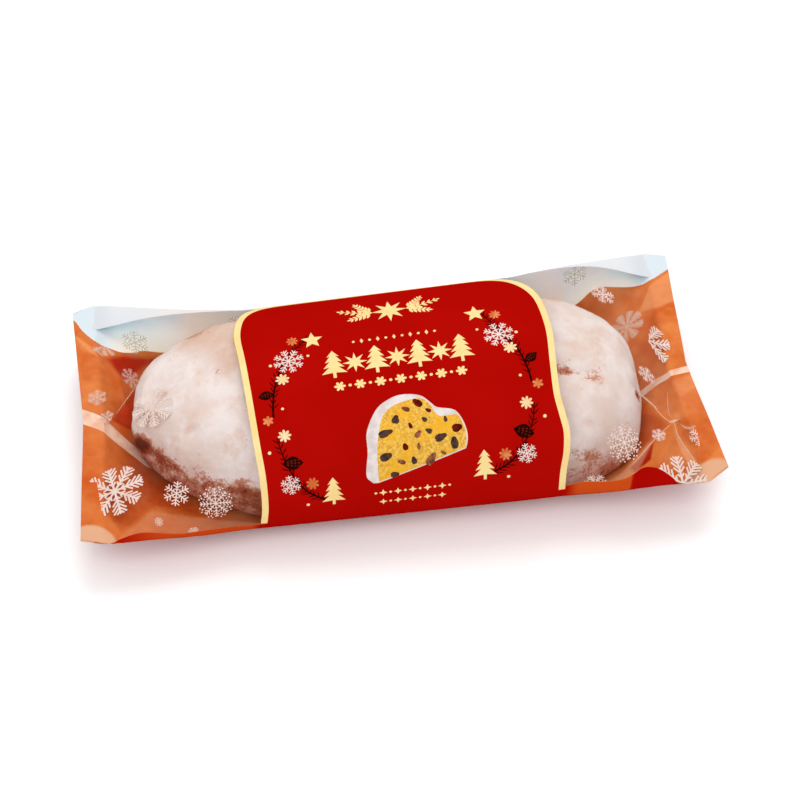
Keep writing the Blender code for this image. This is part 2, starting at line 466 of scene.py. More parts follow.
def leaf(length, width, base=0.0, angle=0.0):
    """A pointed oval from base, growing at an angle in degrees."""
    place = np.linspace(0, 1, 7)
    side = 0.5j * width * np.sin(math.pi * place)
    outline = np.concatenate([length * place - side, (length * place + side)[-2:0:-1]])
    return base + outline * cmath.exp(1j * math.radians(angle))


def stroke(path, start_width, stop_width):
    """A tapering line along a path of complex numbers."""
    along = np.gradient(path)
    side = 0.5j * along / np.abs(along) * np.linspace(start_width, stop_width, len(path))
    return np.concatenate([path - side, (path + side)[::-1]])


def fir_tree(tiers=4):
    """A fir of height 2, standing on -1j."""
    right = [1j]
    for number in range(tiers):
        low = 1 - 1.65 * (number + 1) / tiers
        reach = 0.22 + 0.5 * (number + 1) / tiers
        right += [reach + 1j * (low - 0.04), 0.42 * reach + 1j * (low + 0.03)]
    right[-1] = 0.09 + 1j * (low + 0.02)
    right += [0.09 - 1j]
    left = [-corner.conjugate() for corner in right[:0:-1]]
    return [np.array(right + left)]


def sprig(length, bend, leaves, leaf_length, leaf_width, open_angle=42.0):
    """A curved stem with pairs of leaves, growing from 0 along +x and bending by degrees."""
    place = np.linspace(0, 1, 12)
    path = length * place * np.exp(1j * math.radians(bend) * place / 2)
    outlines = [stroke(path, leaf_width * 0.35, leaf_width * 0.15)]
    for number in range(leaves):
        share = (number + 0.6) / leaves
        base = np.interp(share, place, path.real) + 1j * np.interp(share, place, path.imag)
        size = 1 - 0.45 * share
        for side in (-1, 1):
            angle = bend * share + side * open_angle
            outlines.append(leaf(leaf_length * size, leaf_width * size, base, angle))
    outlines.append(leaf(leaf_length * 0.6, leaf_width * 0.6, path[-1], bend))
    return outlines


GRAND_ARM = (8, 0.075, 0.062, 43, 1.0, ((0.24, 0.17), (0.39, 0.29), (0.54, 0.35), (0.70, 0.33), (0.85, 0.18)))
GRAND_FLAKE = snowflake(*GRAND_ARM)
THREE_ARMS = snowflake(*GRAND_ARM, (-1, 0, 1))
FOUR_ARMS = snowflake(*GRAND_ARM, (0, 1, 2, 3))
FULL_FLAKE = snowflake(6, 0.09, 0.085, 58, 1.0, ((0.26, 0.20), (0.47, 0.36), (0.70, 0.34)))
OPEN_FLAKE = snowflake(6, 0.07, 0.065, 60, 1.0, ((0.30, 0.24), (0.52, 0.40), (0.74, 0.28)))
SMALL_FLAKE = snowflake(8, 0.08, 0.072, 45, 0.98, ((0.30, 0.19), (0.52, 0.31), (0.74, 0.27)))
LACE_FLAKE = lace_flake()


# ---------------------------------------------------------------- materials

class Look:
    """A material and short calls that add nodes to it."""

    def __init__(self, name, roughness, specular):
        self.material = bpy.data.materials.new(name)
        self.material.use_nodes = True
        self.tree = self.material.node_tree
        self.shader = self.tree.nodes["Principled BSDF"]
        self.output = self.tree.nodes["Material Output"]
        self.shader.inputs["Roughness"].default_value = roughness
        self.shader.inputs["Specular IOR Level"].default_value = specular
        self.place = self.tree.nodes.new("ShaderNodeTexCoord").outputs["Object"]

    def put(self, socket, value):
        if isinstance(value, bpy.types.NodeSocket):
            self.tree.links.new(value, socket)
        else:
            socket.default_value = value

    def noise(self, size, detail=3.0, rough=0.5, stretch=(1, 1, 1), shift=0.0):
        """Noise from 0 to 1 whose spots are about size metres across."""
        mapping = self.tree.nodes.new("ShaderNodeMapping")
        self.put(mapping.inputs["Vector"], self.place)
        mapping.inputs["Scale"].default_value = [part / size for part in stretch]
        mapping.inputs["Location"].default_value = (shift, shift, shift)
        texture = self.tree.nodes.new("ShaderNodeTexNoise")
        self.put(texture.inputs["Vector"], mapping.outputs["Vector"])
        texture.inputs["Scale"].default_value = 1.0
        texture.inputs["Detail"].default_value = detail
        texture.inputs["Roughness"].default_value = rough
        return texture.outputs["Fac"]

    def attribute(self, name):
        reader = self.tree.nodes.new("ShaderNodeAttribute")
        reader.attribute_name = name
        return reader.outputs["Fac"]

    def sum(self, operation, first, second, clamp=False):
        math_node = self.tree.nodes.new("ShaderNodeMath")
        math_node.operation = operation
        math_node.use_clamp = clamp
        self.put(math_node.inputs[0], first)
        self.put(math_node.inputs[1], second)
        return math_node.outputs[0]

    def between(self, value, low, high, start=0.0, stop=1.0):
        """value taken smoothly from low..high to start..stop."""
        spread = self.tree.nodes.new("ShaderNodeMapRange")
        spread.interpolation_type = "SMOOTHSTEP"
        self.put(spread.inputs["Value"], value)
        spread.inputs["From Min"].default_value = low
        spread.inputs["From Max"].default_value = high
        spread.inputs["To Min"].default_value = start
        spread.inputs["To Max"].default_value = stop
        return spread.outputs["Result"]

    def blend(self, factor, first, second):
        mixer = self.tree.nodes.new("ShaderNodeMix")
        mixer.data_type = "RGBA"
        self.put(mixer.inputs[0], factor)
        self.put(mixer.inputs[6], first)
        self.put(mixer.inputs[7], second)
        return mixer.outputs[2]

    def colour(self, value):
        self.put(self.shader.inputs["Base Color"], value)

    def bump(self, height, strength, distance):
        bumper = self.tree.nodes.new("ShaderNodeBump")
        bumper.inputs["Strength"].default_value = strength
        bumper.inputs["Distance"].default_value = distance
        self.put(bumper.inputs["Height"], height)
        self.put(self.shader.inputs["Normal"], bumper.outputs["Normal"])


def print_look(name, light, dark, roughness=0.5, specular=0.0, patch=12 * MM):
    """Ink on film: two close tones in soft patches, with the film's faint ripple."""
    look = Look(name, roughness, specular)
    look.colour(look.blend(look.between(look.noise(patch, 3.0), 0.35, 0.65), dark, light))
    look.bump(look.noise(4 * MM, 2.0, stretch=(0.5, 1, 1)), 0.08, 0.3 * MM)
    return look.material


def red_look():
    """The film's red ink. Where it is stretched over the front fold it looks orange."""
    look = Look("red_print", 0.5, 0.0)
    tone = look.blend(look.between(look.noise(60 * MM), 0.35, 0.65), srgb(170, 8, 3), srgb(176, 10, 5))
    look.colour(look.blend(look.attribute("warm"), tone, srgb(206, 78, 26)))
    look.bump(look.noise(6 * MM, 2.0, stretch=(0.5, 1, 1)), 0.08, 0.3 * MM)
    return look.material


def inside_look():
    """The unprinted side of the red film: the ink shows through it as a warm, uneven orange, with painted
    shade and painted light on its folds and facets.
    """
    look = Look("orange_inside", 0.5, 0.01)
    cloud = look.between(look.noise(22 * MM, 4.0, 0.6), 0.32, 0.68)
    colour = look.blend(cloud, srgb(206, 96, 36), srgb(224, 128, 64))
    specks = look.between(look.noise(5 * MM, 3.0), 0.45, 0.75, 0.0, 0.25)
    colour = look.blend(specks, colour, srgb(238, 150, 92))
    # painted shade and painted light: darker and lighter orange on the film's folds and facets
    colour = look.blend(look.attribute("painted_shade"), colour, srgb(178, 34, 8))
    colour = look.blend(look.attribute("painted_light"), colour, srgb(240, 166, 114))
    colour = look.blend(look.attribute("pale"), colour, srgb(222, 168, 132))
    look.colour(colour)
    look.bump(look.noise(7 * MM, 3.0), 0.25, 0.6 * MM)
    return look.material


def drift_look(name, cool, warm, cream, painted_glow):
    """White ink with a breath of blue that turns cream towards its lower edge. The last argument is the
    strength of a faint cool-blue glow: painted light that stands in for daylight coming through from behind."""
    look = Look(name, 0.5, 0.0)
    cloud = look.between(look.noise(34 * MM, 3.0, 0.5, (0.6, 1, 1)), 0.35, 0.65)
    colour = look.blend(look.attribute("warmth"), look.blend(cloud, cool, warm), cream)
    # painted shade: the flat seals are toned darker to even out the stronger light they get
    look.colour(look.blend(look.attribute("painted_seal_shade"), colour, srgb(214, 217, 221)))
    look.bump(look.noise(5 * MM, 2.0), 0.12, 0.3 * MM)
    # painted light: a faint cool-blue glow, though the film is no lamp
    look.shader.inputs["Emission Color"].default_value = (0.15, 0.75, 1.0, 1.0)
    look.shader.inputs["Emission Strength"].default_value = painted_glow
    return look.material


def clear_look():
    """Clear film: nearly invisible, warm and misty where it is dusted, with painted sheen on its folded
    facets and a weak gloss.
    """
    look = Look("clear_film", 0.4, 0.1)
    look.shader.inputs["Base Color"].default_value = srgb(242, 194, 158)
    mist_and_sheen = look.between(look.noise(18 * MM, 3.0), 0.45, 0.75, 0.0, 0.015)
    # the listed patches: painted sheen on folded facets, and sugar dust with painted reflection near the top
    mist_and_sheen = look.sum("ADD", mist_and_sheen, look.attribute("mist_and_sheen"))
    clear = look.tree.nodes.new("ShaderNodeBsdfTransparent")
    body = look.tree.nodes.new("ShaderNodeMixShader")
    look.put(body.inputs[0], mist_and_sheen)
    look.put(body.inputs[1], clear.outputs[0])
    look.put(body.inputs[2], look.shader.outputs[0])
    gloss = look.tree.nodes.new("ShaderNodeBsdfGlossy")
    gloss.inputs["Roughness"].default_value = 0.2
    facing = look.tree.nodes.new("ShaderNodeLayerWeight").outputs["Facing"]
    film = look.tree.nodes.new("ShaderNodeMixShader")
    look.put(film.inputs[0], look.sum("MULTIPLY", look.sum("POWER", facing, 4.0), 0.10))
    look.put(film.inputs[1], body.outputs[0])
    look.put(film.inputs[2], gloss.outputs[0])
    look.put(look.output.inputs["Surface"], film.outputs[0])
    return look.material


def see_through(material, alpha):
    material.node_tree.nodes["Principled BSDF"].inputs["Alpha"].default_value = alpha
    return material


def loaf_look():
    """Powdered sugar, thick and thin, over a brown crust that shows where the sugar rubbed off."""
    look = Look("sugared_crust", 0.9, 0.02)
    fine = look.noise(1.4 * MM, 5.0, 0.65)
    coarse = look.noise(7 * MM, 5.0, 0.62, (0.7, 1, 1), 3.0)
    cloud = look.between(look.noise(20 * MM, 4.0, 0.6), 0.32, 0.68)
    sugar = look.blend(cloud, srgb(226, 204, 194), srgb(238, 226, 222))
    warm = look.between(look.noise(13 * MM, 4.0, 0.6, shift=7.0), 0.50, 0.74, 0.0, 0.8)
    sugar = look.blend(warm, sugar, srgb(222, 190, 172))
    sugar = look.blend(look.between(fine, 0.60, 0.76, 0.0, 0.5), sugar, srgb(206, 166, 146))
    ragged = look.sum("ADD", look.sum("MULTIPLY", fine, 0.9), look.sum("MULTIPLY", coarse, 1.35))
    bare = look.sum("ADD", look.attribute("crust"), ragged)
    colour = look.blend(look.between(bare, 1.36, 1.60, 0.0, 0.9), sugar, srgb(194, 128, 100))
    colour = look.blend(look.between(bare, 1.58, 1.84), colour, srgb(158, 80, 54))
    colour = look.blend(look.between(bare, 1.88, 2.12), colour, srgb(102, 38, 24))
    look.colour(colour)
    look.bump(look.sum("ADD", look.noise(0.9 * MM, 4.0, 0.7), fine), 0.4, 0.35 * MM)
    return look.material


def crumb_look():
    look = Look("crumb_print", 0.5, 0.03)
    fine = look.between(look.noise(1.5 * MM, 4.0, 0.7), 0.36, 0.64)
    golden = look.blend(fine, srgb(208, 148, 48), srgb(244, 200, 92))
    broad = look.between(look.noise(12 * MM, 2.0), 0.4, 0.65, 0.0, 0.75)
    look.colour(look.blend(broad, golden, srgb(240, 176, 36)))
    return look.material


RED = red_look()
ORANGE_INSIDE = inside_look()
DRIFT = drift_look("drift_white", srgb(222, 225, 230), srgb(230, 229, 229), srgb(232, 212, 190), 0.0)
# The drift's inner face has colours above white and a faint glow: painted light for a face that lies in
# shade.
DRIFT_INSIDE = drift_look("drift_inside", srgb(256, 264, 270), srgb(266, 266, 268), srgb(262, 236, 206), 0.10)
CLEAR = clear_look()
GOLD = print_look("gold_print", srgb(251, 222, 156), srgb(247, 214, 144))
CREAM = print_look("cream_print", srgb(247, 222, 178), srgb(240, 205, 150), patch=5 * MM)
WHITE = print_look("white_print", srgb(240, 222, 214), srgb(232, 208, 198))
FLAKE = see_through(print_look("flake_print", srgb(248, 226, 215), srgb(242, 212, 200)), 0.84)
FAINT = see_through(print_look("faint_print", srgb(255, 232, 216), srgb(252, 220, 200)), 0.6)
SPARKLE = see_through(print_look("drift_print", srgb(240, 226, 184), srgb(230, 212, 166)), 0.4)
CREASE = see_through(print_look("film_crease", srgb(248, 212, 188), srgb(242, 200, 172)), 0.34)
COPPER = print_look("copper_print", srgb(226, 140, 88), srgb(206, 104, 52), patch=4 * MM)
DARK = print_look("dark_print", srgb(46, 8, 5), srgb(28, 4, 3), patch=4 * MM)
BARK = print_look("bark_print", srgb(112, 30, 14), srgb(82, 18, 10), patch=3 * MM)
SEAM = print_look("seam_film", srgb(244, 206, 182), srgb(232, 178, 150), patch=6 * MM)
CRUST = loaf_look()
CRUMB = crumb_look()
ICING = print_look("icing_print", srgb(232, 222, 218), srgb(214, 200, 196), patch=5 * MM)
FRUIT = print_look("fruit_print", srgb(88, 62, 52), srgb(60, 42, 42), patch=2.5 * MM)
RAISIN = print_look("raisin_print", srgb(160, 100, 66), srgb(104, 58, 46), patch=2.5 * MM)


# ---------------------------------------------------------------- the film

# The lower edge of the white drift on the back, as (share of half the length, share of the girth)
DRIFT_EDGE = (
    (-1.02, 0.762), (-0.995, 0.772), (-0.975, 0.798), (-0.95, 0.820), (-0.92, 0.836), (-0.865, 0.840),
    (-0.81, 0.834), (-0.73, 0.826), (-0.30, 0.835), (0.15, 0.826), (0.60, 0.830), (0.68, 0.815),
    (0.73, 0.799), (0.77, 0.794), (0.82, 0.801), (0.88, 0.812), (0.92, 0.814), (0.95, 0.807),
    (0.975, 0.796), (1.02, 0.776),
)
# The edge of the opaque underside at the front fold, as (mm along, share of the girth)
FRONT_EDGE = (
    (-175, 0.250), (-158, 0.2510), (-151, 0.2585), (-141, 0.2665), (-130, 0.2655), (-121, 0.2590),
    (-106, 0.2570), (-90, 0.2530), (-76, 0.2505), (0, 0.250), (76, 0.2510), (84.5, 0.2583), (94, 0.2650),
    (104, 0.2640), (112, 0.2681), (118.8, 0.2800), (123, 0.2870), (128, 0.2865), (134, 0.2800), (140, 0.2660),
    (144.5, 0.2510), (150, 0.250), (175, 0.250),
)
# Folds and facets of the film: end, strength, softness in mm, then the corners of a convex patch as
# (mm from the end edge, share of the girth). Inside the printed film they are painted light where the
# strength is above 0 and painted shade where it is below. On the windows they are misty: painted sheen on
# folded facets, and sugar dust with painted reflection near the top.
INSIDE_FACETS = (
    (-1, 0.26, 1.6, ((-3, 0.79), (1.7, 0.803), (7.8, 0.839), (13.8, 0.865), (18.1, 0.890), (18.1, 0.933),
                     (16.5, 0.954), (-3, 0.964))),
    (-1, 0.40, 1.4, ((1.0, 0.800), (7.8, 0.836), (14.5, 0.863), (14.0, 0.872), (6.5, 0.848), (0.5, 0.812))),
    (-1, -0.85, 5.0, ((16.5, 0.864), (26, 0.845), (44, 0.838), (26, 0.895), (20, 0.882))),
    (-1, -0.60, 1.4, ((42.3, 0.839), (35.4, 0.879), (30.2, 0.908), (22.4, 0.953), (16.4, 0.992),
                      (45, 0.992))),
    (-1, -0.35, 7.0, ((22, 1.04), (50, 1.01), (60, 1.16), (40, 1.15), (28, 1.11))),
    (-1, -0.22, 1.2, ((12.0, 1.18), (21, 1.225), (40, 1.148), (26, 1.10), (12, 1.14))),
    (1, -1.30, 1.2, ((47.5, 1.164), (31.5, 1.128), (36, 1.163), (46.5, 1.178))),
    (1, -0.48, 5.0, ((30, 1.015), (21.5, 1.110), (32, 1.125), (58, 1.160), (58, 1.015))),
    (1, 0.30, 1.6, ((18.2, 1.122), (19.8, 1.150), (19.8, 1.205), (13.6, 1.216),
                    (15.5, 1.183), (17.2, 1.150))),
    (1, 0.14, 2.0, ((19.0, 1.124), (33, 1.168), (31, 1.215), (19.5, 1.205))),
    (1, -0.20, 1.2, ((17.6, 1.113), (-1, 1.140), (-1, 1.200), (13.0, 1.216))),
    (1, 0.26, 2.0, ((13, 1.036), (-1, 1.030), (-1, 1.060), (11, 1.075))),
    (1, 0.12, 3.0, ((18, 1.03), (-1, 1.06), (-1, 1.134), (17, 1.108))),
    (1, 0.45, 1.2, ((13.0, 0.826), (20.0, 0.866), (11.2, 0.878), (-1, 0.858), (-1, 0.790))),
    (1, -0.25, 5.0, ((22, 0.862), (14, 0.835), (24, 0.828), (30, 0.870))),
    (1, -0.20, 6.0, ((21, 0.875), (8, 0.905), (20, 0.96), (30, 0.91))),
)
# Misty window patches: painted sheen on folded facets, and near the top sugar dust with painted reflection
WINDOW_MIST_AND_SHEEN = (
    (-1, 0.07, 1.5, ((42.3, 0.308), (19.8, 0.2585), (32, 0.250), (94, 0.250), (94, 0.270), (63, 0.286))),
    (-1, 0.16, 18.0, ((62, 0.60), (62, 0.74), (104, 0.74), (104, 0.54), (84, 0.54))),
    (1, 0.14, 1.5, ((26.7, 0.345), (27.6, 0.349), (14.7, 0.281), (21.5, 0.286))),
    (1, 0.13, 1.5, ((40.5, 0.327), (54.3, 0.297), (66, 0.264), (60, 0.256), (52.5, 0.282), (44, 0.312))),
    (1, 0.12, 12.0, ((74, 0.58), (74, 0.70), (100, 0.70), (100, 0.56))),
    (1, 0.10, 1.5, ((27, 0.356), (0, 0.368), (0, 0.356), (14, 0.354))),
)
# Creases of the windows, in the same measures: end, start, stop, widest in mm
CREASE_LINES = (
    (1, (43.1, 0.407), (33.0, 0.379), 1.1), (1, (36.0, 0.387), (27.4, 0.351), 0.5),
    (1, (29.0, 0.354), (24.6, 0.355), 1.8), (1, (27.0, 0.354), (0.8, 0.361), 1.5),
    (1, (26.8, 0.356), (19.8, 0.429), 0.35),
    (1, (27.6, 0.352), (14.5, 0.280), 0.7), (1, (28.0, 0.351), (54.3, 0.293), 0.6),
    (-1, (2.6, 0.694), (15.0, 0.631), 1.4), (-1, (36.0, 0.550), (20.0, 0.500), 0.5),
)


def drift_edge(x):
    curve = smooth_curve(DRIFT_EDGE, 600)
    return np.interp(x, curve[:, 0] * PACK_LENGTH / 2, curve[:, 1] * FILM_GIRTH)


def front_edge(x):
    curve = smooth_curve(FRONT_EDGE, 600)
    return np.interp(x, curve[:, 0] * MM, curve[:, 1] * FILM_GIRTH)


def facet(x, y, end, softness, corners):
    """1 inside a convex patch of one end's film and 0 outside, with a soft edge."""
    place = (PACK_LENGTH / 2 - np.abs(x)) + 1j * y
    outline = [complex(away * MM, share * FILM_GIRTH) for away, share in corners]
    middle = sum(outline) / len(outline)
    inside = np.full(x.shape, np.inf)
    for first, second in zip(outline, outline[1:] + outline[:1]):
        run = (second - first) / abs(second - first)
        if (run.conjugate() * (middle - first)).imag < 0:
            run = -run
        inside = np.minimum(inside, (run.conjugate() * (place - first)).imag)
    return ease(inside / (softness * MM) + 0.5) * (np.sign(x) == end)


def film_grid(start, stop, rows, low, high, columns):
    """Places over a stretch of film. low and high are its edges round the pack, for each x."""
    x = np.linspace(start, stop, rows)[:, None]
    share = np.linspace(0, 1, columns)[None, :]
    return x + 0 * share, mix(low(x), high(x), share)


def at_line(y):
    return lambda x: np.full(x.shape, y)


def make_window(name, start, stop, rows):
    low, high = at_line(FRONT_FOLD - WINDOW_TUCK[0]), at_line(TOP_LINE + WINDOW_TUCK[1])
    x, y = film_grid(start, stop, rows, low, high, 160)
    # painted sheen on folded facets, and sugar dust with painted reflection near the top
    mist_and_sheen = sum(strength * facet(x, y, end, *patch) for end, strength, *patch in WINDOW_MIST_AND_SHEEN)
    sheet(name, x, y, WINDOW_LAYER, [CLEAR], {"mist_and_sheen": mist_and_sheen})


def make_creases():
    """Sharp creases that stand out on the windows as thin pale lines."""
    shapes = []
    share = np.linspace(0, 1, 14)
    for end, *ends, widest in CREASE_LINES:
        first, last = (
            end * (PACK_LENGTH / 2 - away * MM) + 1j * around * FILM_GIRTH for away, around in ends
        )
        run = (last - first) / abs(last - first)
        side = 0.5j * run * widest * MM * np.sqrt(np.sin(math.pi * np.clip(share, 0.03, 0.97)))
        path = mix(first, last, share)
        shapes.append((np.concatenate([path - side, (path + side)[::-1]]), 0))
    printed("window_creases", CREASE, shapes, CREASE_BASE)


def seal_squeeze(x):
    """Height of the lower film's inner face. In the flat seals it is pressed up to the windows."""
    return INSIDE_FACE - SEAL_SQUEEZE * ramp(2 * x / PACK_LENGTH, SEAL_START - 0.02, SEAL_START + 0.02)


def make_printed_film():
    """The opaque underside and lower back: red outside, orange inside."""
    x, y = film_grid(-PACK_LENGTH / 2, PACK_LENGTH / 2, 330,
                     drift_edge, lambda x: front_edge(x) + FILM_GIRTH, 146)
    # Painted light and painted shade for the folds and facets inside the film; the left half is a step darker
    tone = sum(strength * facet(x, y, end, *patch) for end, strength, *patch in INSIDE_FACETS)
    tone = tone - 0.20 * (x < 0)
    away = PACK_LENGTH / 2 - np.abs(x)
    aside = y - FRONT_FOLD - FILM_GIRTH
    pale = np.zeros(x.shape)
    for end, middle, radius in ((-1, 6.5 * MM, 11.8 * MM), (1, 12 * MM, 13 * MM)):
        corner = radius - np.hypot(away - middle, aside)
        pale += ease(corner / (1.4 * MM) + 0.5) * (np.sign(x) == end)
    left = ease((x + 156 * MM) / (30 * MM)) * ease((-78 * MM - x) / (6 * MM))
    right = ease((x - 84 * MM) / (8 * MM)) * ease((118.6 * MM - x) / (1.2 * MM) + 0.5)
    warm = np.clip(0.75 * left + right, 0, 1) * ease((aside + 10 * MM) / (4 * MM))
    fields = {"pale": pale, "painted_shade": np.clip(-tone, 0, 1), "painted_light": np.clip(tone, 0, 1), "warm": warm}
    sheet("printed_film", x, y, (0.0, seal_squeeze(x)), [RED, ORANGE_INSIDE], fields)


def make_drift():
    x, y = film_grid(-PACK_LENGTH / 2, PACK_LENGTH / 2, 320,
                     at_line(TOP_LINE), lambda x: drift_edge(x) + DRIFT_OVERLAP, 46)
    warmth = 0.8 * ease(((y - TOP_LINE) / (drift_edge(x) - TOP_LINE) - 0.45) / 0.6)
    warmth += 0.3 * np.exp(-((x + 98 * MM) / (26 * MM)) ** 2)
    # painted shade in the flat seals, evening out the stronger light they get
    painted_seal_shade = ease((26 * MM - PACK_LENGTH / 2 + np.abs(x)) / (12 * MM))
    sheet("drift_film", x, y, (DRIFT_FACE, seal_squeeze(x)), [DRIFT, DRIFT_INSIDE],
          {"warmth": warmth, "painted_seal_shade": painted_seal_shade})


def label_edge(side, count=400):
    """One edge of the label as (metres up, metres out)."""
    return smooth_curve(LABEL_EDGES[side], count) * MM


def make_label():
    rising = np.linspace(-2.0 * MM, 118 * MM, 100)
    turning = 118 * MM + (LABEL_HEIGHT - 118 * MM) * np.sin(np.linspace(0, math.pi / 2, 50))[1:]
    up = np.concatenate([rising, turning])
    left, right = (np.interp(up, *label_edge(side).T) for side in (-1, 1))
    share = np.linspace(0, 1, 140)[:, None]
    x = LABEL_MIDDLE + mix(-left, right, share)
    y = FRONT_FOLD + up + 0 * share
    sheet("label_film", x, y, LABEL_LAYER, [RED, ORANGE_INSIDE])


def make_border():
    """The gold line up both sides of the label and over its top."""
    left, right = (label_edge(side, 150) for side in (-1, 1))
    rise, fall = -left[:, 1] + 1j * left[:, 0], (right[:, 1] + 1j * right[:, 0])[::-1]
    rise, fall = rise[rise.imag > 0], fall[fall.imag > 0]
    path = np.concatenate([rise, np.linspace(rise[-1], fall[0], 60)[1:-1], fall])
    along = np.gradient(path)
    side = 1j * along / np.abs(along) * BORDER_WIDTH
    place = path[:, None] + side[:, None] * np.linspace(*BORDER_SHARES, 6)[None, :]
    x, y = LABEL_MIDDLE + place.real, FRONT_FOLD + place.imag
    sheet("gold_border", x[:, ::-1], y[:, ::-1], BORDER_LAYER, [GOLD])


def make_seam():
    """The lengthwise back seam: a pale band inside, and outside a ribbed fin folded flat on the base."""
    controls = (
        (-172.5, -2.6, 11.2), (-165.5, 1.2, 10.8), (-158.7, 5.4, 10.2), (-151, 9.0, 8.8), (-143, 13.0, 8.0),
        (-134, 17.0, 7.5), (-110, 15, 6.5), (0, 9, 5.5), (110, 7, 4.6), (146, 5.8, 4.2), (153.5, 5.8, 4.4),
        (159.6, 7.6, 4.0), (172.5, 6.5, 5.0),
    )
    centre = smooth_curve(controls, 360) * MM
    share = np.linspace(-0.5, 0.5, 9)[None, :]
    x = centre[:, :1] + 0 * share
    y = centre[:, 1:2] + centre[:, 2:3] * share
    outer, depth = SEAM_INSIDE_LAYER
    squeezed = seal_squeeze(x)
    inner = np.where(squeezed < -0.3 * MM, squeezed - SEAM_LIFT, depth)
    sheet("seam_inside", x, y, (outer, inner), [SEAM])

    x = np.linspace(-PACK_LENGTH / 2 + 0.5 * MM, PACK_LENGTH / 2 - 0.5 * MM, 860)[:, None]
    y = np.linspace(*FIN_EDGES, 13)[None, :]
    x, y = x + 0 * y, y + 0 * x
    ribs = FIN_HEIGHT + RIB_HEIGHT * np.sin(2 * math.pi * x / RIB_PITCH)
    sheet("seam_fin", x, y, (ribs, FIN_FOOT), [RED])


# ---------------------------------------------------------------- the print

def flakes_at(rows):
    """Shapes of the flakes in rows of: outline, share of half the length, share of the girth, radius
    in mm, turn in degrees and stretch round the film."""
    shapes = []
    for outlines, along, around, radius, turn, stretch in rows:
        shapes += placed(outlines, along * PACK_LENGTH / 2, around * FILM_GIRTH, radius * MM, turn, stretch)
    return shapes


def on_inside(x):
    """The foot of print that shows through on the inside of the lower film and the drift."""
    return seal_squeeze(x) - INSIDE_PRINT_DEPTH


def make_window_flakes():
    printed("window_flakes", FLAKE, flakes_at((
        (GRAND_FLAKE, -0.895, 0.346, 16.5, 12, 1.0), (GRAND_FLAKE, -0.760, 0.486, 12.0, 5, 1.12),
        (FULL_FLAKE, -0.700, 0.325, 7.0, 20, 1.0), (LACE_FLAKE, -0.585, 0.307, 9.0, 0, 1.0),
        (THREE_ARMS, 0.864, 0.536, 15.5, 2, 1.1), (FULL_FLAKE, 0.815, 0.452, 6.0, 5, 1.0),
        (FULL_FLAKE, 0.720, 0.610, 8.0, 15, 1.0), (LACE_FLAKE, 0.670, 0.326, 9.5, 10, 1.05),
        (FULL_FLAKE, 0.577, 0.262, 6.5, 0, 1.0), (FULL_FLAKE, 0.790, 0.333, 4.2, 12, 1.0),
        (FULL_FLAKE, 0.950, 0.338, 7.0, 8, 1.0), (FOUR_ARMS, 0.845, 0.252, 16.5, 4, 1.0),
    )), PRINT_BASE)
    printed("window_flakes_faint", FAINT, flakes_at((
        (SMALL_FLAKE, -0.760, 0.283, 2.4, 15, 1.0), (OPEN_FLAKE, -0.660, 0.262, 3.0, 0, 1.0),
        (OPEN_FLAKE, -0.945, 0.544, 6.0, 25, 1.0), (OPEN_FLAKE, -0.920, 0.500, 4.5, 10, 1.0),
    )), PRINT_BASE)
    printed("back_flakes", FAINT, flakes_at((
        (THREE_ARMS, -0.910, 0.838, 7.0, 90, 1.0), (SMALL_FLAKE, -0.830, 0.885, 5.5, 0, 1.2),
        (GRAND_FLAKE, 0.835, 0.880, 9.5, 20, 1.0),
    )), on_inside)


def make_drift_flakes():
    """Pale gold flakes on the drift. The film is thin enough for them to show on both its sides."""
    shapes = flakes_at((
        (OPEN_FLAKE, -0.805, 0.815, 8, -32, 1.0), (OPEN_FLAKE, -0.45, 0.775, 9, -18, 1.0),
        (OPEN_FLAKE, 0.02, 0.77, 7, 1, 1.0), (OPEN_FLAKE, 0.36, 0.79, 9, 14, 1.0),
        (OPEN_FLAKE, 0.675, 0.762, 8.5, 27, 1.0),
    ))
    printed("drift_flakes", SPARKLE, shapes, 0.0)
    printed("drift_flakes_inside", SPARKLE, shapes, on_inside)


